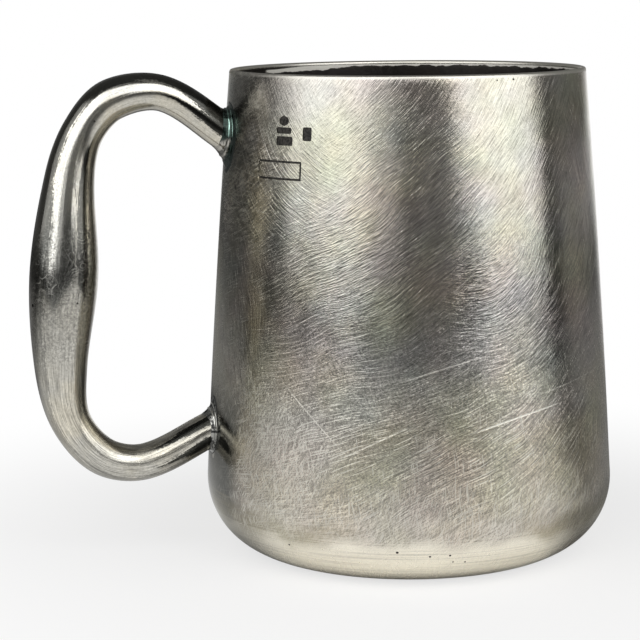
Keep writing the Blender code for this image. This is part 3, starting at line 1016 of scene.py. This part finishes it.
def handleFinish():
    finish, shader = newFinish("polishedHandleSilver")
    whole, x, _, z = objectPoint()
    # along and round the grip in millimetres
    grip = addNode("SeparateXYZ", {0: addNode("UVMap", uv_map="grip")[0]})
    grit = cloud(whole, 1.9, 3.0, 0.8)
    # the scratches wander, so that they never make a grid
    wander = threeClouds(whole, 0.16, 2.0)
    bentGrip = [timesPlus(wander[k], 14.0, grip[k]) for k in range(2)]
    lengthwise = asVector(grip[0] * 0.11, grip[1] * 2.6)
    finer = asVector(grip[0] * 0.3, grip[1] * 5.0, 5.0)
    rubbing = timesPlus(cloud(lengthwise, 1.0, 3.0, 0.6), 0.6, cloud(finer, 1.0, 1.0) * 0.4)
    # scratches in all directions, most of them on the swell where it is set down and knocked
    scratches = 0.0
    for along, over, slow, seed in ((2.5, -3.5, 0.20, 9.0), (1.6, 3.9, 0.22, 14.0), (0.7, 4.2, 0.16, 19.0)):
        narrow = timesPlus(bentGrip[0], along, bentGrip[1] * over)
        drawn = timesPlus(bentGrip[0], -over * slow / 4, bentGrip[1] * (along * slow / 4))
        scratches = larger(scratches, between(cloud(asVector(drawn, narrow, seed), 1.0, 0.0), 0.62, 0.8))
    swellHere = between(z, 40.0, 52.0) * falling(z, 68.0, 80.0)
    scratches = scratches * between(swellHere, 0.0, 1.0, 0.15, 0.6)
    stain = cloud(whole, 0.11, 3.0, 0.6)
    lowerRun = falling(z, 30.0, 58.0)
    height = rubbing * timesPlus(lowerRun, 1.2, 0.8)
    height = timesPlus(scratches, -0.5, height)
    height = timesPlus(grit, between(swellHere, 0.0, 1.0, 0.3, 1.1), height)
    bumped(shader, height, gripSilver["rubbing"])
    bench["colour"] = blendColour(between(stain, 0.35, 0.7), gripSilver["colour"], gripSilver["warmColour"])
    # tarnish left on the swell, and a painted dark reflection on one side of it, which ends below in a point on
    # either side
    dull = swellHere * between(stain, 0.3, 0.6, 0.3, 0.7)
    coat(dull, gripSilver["darkColour"])
    darkReflectionLine = timesPlus(stain - 0.5, 3.5, timesPlus(grit - 0.5, 2.2, grip[1]))
    darkReflectionGap = abs(darkReflectionLine + 2.0) + between(z, 52.0, 70.0, 0.6, -3.4)
    paintedDarkReflection = falling(darkReflectionGap, -0.8, 0.3) * falling(z, 73.0, 82.0)
    coat(paintedDarkReflection * 0.8, gripSilver["stainAndDarkReflectionColour"])
    # black along the outside and in wedges that widen towards the joints: tarnish where no finger rubs, together
    # with painted dark reflections
    ragged = timesPlus(rubbing - 0.5, 4.0, timesPlus(grit - 0.5, 2.0, timesPlus(stain - 0.5, 3.0, grip[1])))
    above = between(z, 50.0, 70.0)
    nearUpper = between(x, -60.0, -41.0) * above
    nearLower = between(x, -62.0, -46.0) * (1.0 - above)
    outside = falling(timesPlus(nearUpper, -3.1, ragged), -4.1, -3.6)
    outside = outside * between(grip[0], 45.0, 100.0, 1.0, 0.4)
    onRun = between(z, 56.0, 68.0) * falling(z, 84.0, 96.0) * falling(x, -72.0, -64.0)
    # where the hand slides the silver is polished and carries a painted highlight, down to a point on the swell
    palmPolishAndHighlight = timesPlus(between(z, 56.0, 84.0), -1.5, abs(ragged + 2.3))
    palmPolishAndHighlight = falling(palmPolishAndHighlight, -0.5, 0.3) * between(z, 56.0, 62.0, 0.0, 0.7)
    coat(palmPolishAndHighlight, gripSilver["palmPolishAndHighlightColour"])
    wedges = 0.0
    wedgeKinds = ((0.4, 1.6, nearUpper), (-1.9, 1.5, nearLower), (4.2, 1.9, nearLower), (2.5, 1.3, onRun))
    for centre, wide, here in wedgeKinds:
        gap = timesPlus(here, -wide, abs(ragged - centre))
        wedges = larger(wedges, falling(gap, -0.3, 0.2) * between(here, 0.0, 0.3))
    black = larger(outside, wedges)
    blackest = larger(outside * nearUpper, wedges * (1.0 - onRun)) * 0.75
    coat(black * 0.9, gripSilver["blackTarnishAndReflectionColour"])
    coat(blackest, gripSilver["crustAndDarkReflectionColour"])
    spread = timesPlus(lowerRun, 0.38, 0.18)
    tone = clamped(timesPlus(rubbing - 0.5, spread * 6.0, 0.95), 0.4, 1.6)
    tone = tone * between((grit - 0.5) * between(swellHere, 0.0, 1.0, 0.35, 1.0), -0.3, 0.3, 0.45, 1.55)
    coat(1.0, asColour(tone, tone, tone), "MULTIPLY")
    coat(scratches * 0.35, gripSilver["scratchColour"])
    rough = timesPlus(stain, 0.1, gripSilver["roughness"] - 0.03)
    rough = timesPlus(lowerRun - nearLower, 0.1, rough)
    rough = timesPlus(scratches, 0.22, rough)
    setInputs(shader, {"Base Color": bench["colour"], "Metallic": 1.0, "Roughness": rough})
    return finish


handleFinishes = [handleFinish(), drumFinishes[1]]

print("handle halves")


def unrollGrip(bm, facing):
    # own map of the grip: distance along its line and round it, in millimetres
    reached = [0.0]
    for a, b in zip(gripLine, gripLine[1:]):
        reached.append(reached[-1] + (b.xyz - a.xyz).length)
    tree = kdtree.KDTree(len(gripLine))
    for i, station in enumerate(gripLine):
        tree.insert(station.xyz, i)
    tree.balance()
    frames = [lineFrame(gripLine, i).inverted() for i in range(len(gripLine))]
    grip = bm.loops.layers.uv.new("grip")
    for vert in bm.verts:
        i = tree.find(vert.co)[1]
        local = frames[i] @ vert.co
        angle = math.atan2(local.y, local.x * facing)
        for loop in vert.link_loops:
            loop[grip].uv = (reached[i] + local.z, angle * handle["unrolledRadius"])


def trimmer():
    # the drum's space just inside its outer skin, to cut the handle's ends to
    side = sidePoints(handle["cutInset"], drum["height"])
    profile = [(0, side[0].y)] + [tuple(point) for point in side] + [(0, side[-1].y)]
    bm = spun(profile, handle["cutTurns"], False)
    return tempObject(bm, "trimmer", handleFinishes)


def gripPoint(height, turn, grow):
    # a point on the outer run of the handle: turn is from the outer seam towards the near side
    station = min(gripLine[len(gripLine) // 5: -len(gripLine) // 5], key=lambda point: abs(point.z - height))
    angle = math.radians(turn)
    outward = Vector((-math.cos(angle), -math.sin(angle), 0))
    return Vector((station.x, 0, height)) + outward * (station.w + grow), outward


def handleDrills():
    bm = bmesh.new()
    vent = handle["vent"]
    place, outward = gripPoint(vent["height"], vent["turn"], 0)
    turn = outward.to_track_quat("Z", "Y").to_matrix().to_4x4()
    bmesh.ops.create_cone(bm, cap_ends=True, segments=24, radius1=vent["radius"], radius2=vent["radius"] * 1.25,
                          depth=3.0, matrix=Matrix.Translation(place) @ turn)
    for height, angle, radius in handle["pits"]:
        place, outward = gripPoint(height, angle, radius * 0.3)
        bmesh.ops.create_icosphere(bm, subdivisions=2, radius=radius, matrix=Matrix.Translation(place))
    for face in bm.faces:
        face.material_index = 1
    return tempObject(bm, "drills", handleFinishes)


def makeHalf(name, nodeName, facing):
    bm = tubeShape(gripLine)
    everything = list(bm.verts) + list(bm.edges) + list(bm.faces)
    bmesh.ops.bisect_plane(bm, geom=everything, dist=0.0001, plane_co=(0, facing * handle["seam"], 0),
                           plane_no=(0, -facing, 0), clear_outer=True)
    unrollGrip(bm, facing)
    half = tempObject(bm, name, handleFinishes)
    sheet = half.modifiers.new("sheet", "SOLIDIFY")
    sheet.thickness = handle["wall"]
    sheet.offset = -1
    edge = half.modifiers.new("seam edge", "BEVEL")
    edge.width = handle["seamRound"]
    edge.segments = 3
    edge.limit_method = "ANGLE"
    edge.angle_limit = math.radians(50)
    mesh = scaledMesh(takeAway(half, [trimmer(), handleDrills()]), name)
    placeMesh(mesh, name, handleFinishes, nodeName)


makeHalf("handle_half_near", "handle_near_half", -1)
makeHalf("handle_half_far", "handle_far_half", 1)

print("solder")

collar = {
    "sides": 96,
    "rows": 44,
    "upperLeg": 2.4,
    "lowerLeg": 1.3,
    "unevenLeg": 0.22,
    "upperFlare": (0.0, 0.5),
    "lowerFlare": (1.2, 0.0),
    "fullness": 0.3,
    "sink": 0.35,
    "ridges": [(0.40, 0.045, 1.0), (0.66, 0.035, 0.5)],
    "ridgeHeight": 0.15,
    "lump": 0.12,
}


def lineAt(line, distance):
    for a, b in zip(line, line[1:]):
        length = (b.xyz - a.xyz).length
        if distance <= length:
            return a.lerp(b, distance / length), (b.xyz - a.xyz).normalized()
        distance -= length
    return line[-1], (line[-1] - line[-2]).xyz.normalized()


def skinPoint(line, distance, angle, grow):
    station, along = lineAt(line, distance)
    side = Vector((0, 1, 0))
    outward = side.cross(along) * math.cos(angle) + side * math.sin(angle)
    return station.xyz + outward * (station.w + grow), outward


def leaveWall(line, angle):
    # distance along the line at which the handle's skin comes out of the drum
    inside, outside = 0.0, 6 * handle["neck"]
    for _ in range(40):
        middle = (inside + outside) / 2
        point = skinPoint(line, middle, angle, 0)[0]
        if math.hypot(point.x, point.y) < outerRadius(point.z):
            inside = middle
        else:
            outside = middle
    return outside


def makeCollar(name, nodeName, line, leg, flare, seed, finish):
    sections = []
    shares = [k / collar["rows"] for k in range(collar["rows"] + 1)]
    ridges = [sum(tall * math.exp(-((share - at) / wide) ** 2) for at, wide, tall in collar["ridges"])
              for share in shares]
    for i in range(collar["sides"]):
        angle = math.tau * i / collar["sides"]
        ragged = noise.noise(Vector((math.cos(angle) * 1.6, math.sin(angle) * 1.6, seed)))
        raggedWall = noise.noise(Vector((math.cos(angle) * 2.3, math.sin(angle) * 2.3, seed + 9)))
        # the solder runs further out along the top or the bottom of the joint
        upright = math.cos(angle)
        flared = 1 + (flare[0] if upright > 0 else flare[1]) * upright ** 4
        gripLeg = leg * flared * (1 + collar["unevenLeg"] * ragged)
        wallLeg = leg * flared * (1 + collar["unevenLeg"] * raggedWall)
        distance = leaveWall(line, angle)
        root, outward = skinPoint(line, distance, angle, 0)
        upOnGrip = skinPoint(line, distance + gripLeg, angle, 0.02)[0]
        wallNormal = Vector((root.x, root.y, 0)).normalized()
        away = (outward - wallNormal * outward.dot(wallNormal)).normalized()
        onDrum = root + away * wallLeg
        scale = (outerRadius(onDrum.z) - 0.02) / math.hypot(onDrum.x, onDrum.y)
        onDrum = Vector((onDrum.x * scale, onDrum.y * scale, onDrum.z))
        pull = root.lerp((upOnGrip + onDrum) / 2, collar["fullness"])
        sunk = root - (outward + wallNormal).normalized() * collar["sink"]
        section = [sunk]
        for share, ridge in zip(shares, ridges):
            point = curved(upOnGrip, pull, onDrum, share)
            lump = noise.noise(point * 0.8 + Vector((seed, 0, 0))) * collar["lump"] * math.sin(math.pi * share)
            lump += collar["ridgeHeight"] * ridge
            section.append(point + (outward + wallNormal).normalized() * lump)
        sections.append(section)
    bm = bmesh.new()
    # ridge values, which the finish turns into a painted highlight
    ridgeShine = bm.verts.layers.float.new("ridgeShine")
    across = bm.verts.layers.float.new("across")
    rings = []
    for k, (ridge, share) in enumerate(zip([0.0] + ridges, [1.0] + shares)):
        verts = [bm.verts.new(section[k]) for section in sections]
        for vert in verts:
            vert[ridgeShine] = ridge
            vert[across] = share
        rings.append([bm.edges.new((a, b)) for a, b in zip(verts, verts[1:] + verts[:1])])
    for a, b in zip(rings, rings[1:] + rings[:1]):
        bmesh.ops.bridge_loops(bm, edges=a + b)
    bmesh.ops.recalc_face_normals(bm, faces=bm.faces)
    finishPiece(bm, name, finish, nodeName, 60)


def solderFinish(name, look):
    # the ridges carry a painted highlight between two heights, and a dark crust lies in patches over the rest
    finish, shader = newFinish(name)
    whole, _, _, z = objectPoint()
    patches = cloud(whole, 0.55, 4.0, 0.65)
    grain = cloud(whole, 3.0, 3.0)
    ridge = addNode("Attribute", attribute_name="ridgeShine")["Fac"]
    shineFrom, shineTo = look["shine"]
    middle, reach = (shineFrom + shineTo) / 2, (shineTo - shineFrom) / 2
    here = falling(abs(z - middle), reach * 0.6, reach)
    shine = between(ridge, 0.2, 0.65) * here
    crust = falling(patches, 0.42, 0.54)
    crust = crust * (1.0 - shine)
    # black lies in the crack along the drum and in one across the joint
    share = addNode("Attribute", attribute_name="across")["Fac"]
    crust = greatest([crust, between(share, 0.8, 0.92), falling(abs(z - look["crackAt"]), 0.15, 0.4)])
    crustTone = blendColour(between(grain, 0.3, 0.7), look["crustAndDarkReflectionColour"], darker(look["crustAndDarkReflectionColour"], 0.45))
    bench["colour"] = blendColour(crust, look["colour"], crustTone)
    coat(shine, look["shineColour"])
    # underneath, the solder is filed down to the silver on the side of the handle
    streak = cloud(asVector(share * 9.0, z * 0.5, 3.0), 1.0, 2.0)
    bare = falling(timesPlus(patches, 1.6, z), look["bareBelow"], look["bareBelow"] + 1.2)
    bare = bare * falling(timesPlus(patches, 0.3, share), 0.62, 0.74)
    bareTone = blendColour(between(streak, 0.35, 0.6), (0.1, 0.1, 0.09), (0.47, 0.455, 0.41))
    coat(bare, bareTone)
    crust = crust * (1.0 - bare)
    setInputs(shader, {"Base Color": bench["colour"], "Metallic": 1.0 - crust * 0.8,
                       "Roughness": timesPlus(crust, 0.35, 0.13)})
    bumped(shader, timesPlus(crust, 0.4, grain * 0.15), 0.03)
    return finish


# Heights in millimetres: the two that the painted highlight lies between, the crack and the top of what is filed
# bare
solderLooks = {
    "greened": {"colour": (0.035, 0.052, 0.045), "crustAndDarkReflectionColour": (0.010, 0.018, 0.015),
                "shineColour": (0.50, 0.74, 0.66), "shine": (93.2, 99.6), "crackAt": -1.0, "bareBelow": 93.0},
    "clean": {"colour": (0.33, 0.33, 0.31), "crustAndDarkReflectionColour": (0.015, 0.016, 0.015),
              "shineColour": (0.80, 0.80, 0.76), "shine": (29.6, 37.0), "crackAt": 28.9, "bareBelow": -9.0},
    "base": {"colour": (0.25, 0.25, 0.235), "crustAndDarkReflectionColour": (0.05, 0.06, 0.05),
             "shineColour": (0.25, 0.25, 0.235), "shine": (0.0, 0.1), "crackAt": -1.0, "bareBelow": -9.0},
}
makeCollar("solder_collar_upper", "upper_handle_solder", gripLine, collar["upperLeg"], collar["upperFlare"], 2.0,
           solderFinish("greenedSolder", solderLooks["greened"]))
makeCollar("solder_collar_lower", "lower_handle_solder", gripLine[::-1], collar["lowerLeg"], collar["lowerFlare"],
           5.0, solderFinish("cleanSolder", solderLooks["clean"]))

print("base")

base = {
    "thick": 1.2,
    "play": 0.06,
    "turns": 192,
    "seamLeg": 3.0,
    "seamTurns": 216,
    "round": 0.1,
    "colour": (0.36, 0.335, 0.3),
    "stainAndDarkReflectionColour": (0.22, 0.2, 0.175),
    "scuffColour": (0.58, 0.55, 0.5),
    "insideShadeColour": (0.15, 0.14, 0.13),
    "underside": [(22.6, 0.0), (22.3, 0.12), (22.0, 0.0), (8.2, 0.0), (8.0, 0.1), (7.8, 0.0), (0.9, 0.0),
                  (0.45, 0.3), (0, 0.3)],
}


def roundedProfile(corners, radius):
    # a chain of points with each inner corner cut back in three small steps
    points = [Vector(corners[0])]
    for before, at, after in zip(corners, corners[1:], corners[2:]):
        before, at, after = Vector(before), Vector(at), Vector(after)
        start = at + (before - at).normalized() * radius
        end = at + (after - at).normalized() * radius
        for k in range(4):
            points.append(curved(start, at, end, k / 3))
    return points + [Vector(corners[-1])]


def makeBase(finish):
    rim, boss = footRadius - 0.2, footHole - base["play"]
    under = drum["wall"] + 0.02
    top = under + base["thick"] + 0.28
    dish = boss - base["thick"]
    corners = [(0, base["thick"]), (dish, base["thick"]), (dish, top), (rim, top), (rim, under), (boss, under),
               (boss, 0.0)] + base["underside"]
    bm = spun(roundedProfile(corners, base["round"]), base["turns"], False)
    finishPiece(bm, "base_disc", finish, "base_plate", 45)


def makeBaseSolder(finish):
    top = drum["wall"] * 2 + 0.3
    reach = math.asin(base["seamLeg"] / drum["cornerWidth"])
    under = [cornerPoint(-math.pi / 2 + reach * i / 10, drum["wall"] - 0.05) for i in range(11)]
    start = Vector((footRadius - 1.2, top))
    pull = Vector((footRadius, top)).lerp((start + under[-1]) / 2, collar["fullness"])
    upper = [curved(start, pull, under[-1], k / 12) for k in range(13)]
    bm = spun(upper + under[-2::-1] + [Vector((footRadius - 1.2, top - 0.4))], base["seamTurns"], True)
    for vert in bm.verts:
        vert.co.z += collar["lump"] * noise.noise(vert.co * 0.35)
    finishPiece(bm, "base_solder_ring", finish, "base_seam", 60)


def baseFinish():
    finish, shader = newFinish("tarnishedBaseSilver")
    whole, x, y, z = objectPoint()
    reach = calc("SQRT", x * x + y * y)
    turning = cloud(asVector(reach * 3.2, 0.0, calc("ARCTAN2", y, x) * 0.4), 1.0, 3.0, 0.6)
    stain = cloud(whole, 0.12, 4.0, 0.65)
    scuff = between(cloud(whole, 0.9, 3.0, 0.7), 0.6, 0.7)
    bench["colour"] = blendColour(between(stain, 0.3, 0.7), base["colour"], base["stainAndDarkReflectionColour"])
    coat(scuff * 0.6, base["scuffColour"])
    # painted shade: the disc's top face, inside the tankard, is darkened
    coat(between(z, 0.6, 1.0) * 0.7, base["insideShadeColour"])
    setInputs(shader, {"Base Color": bench["colour"], "Metallic": 1.0, "Roughness": timesPlus(stain, 0.25, 0.22)})
    bumped(shader, timesPlus(scuff, -0.4, turning), 0.012)
    return finish


makeBase(baseFinish())
makeBaseSolder(solderFinish("baseSolder", solderLooks["base"]))
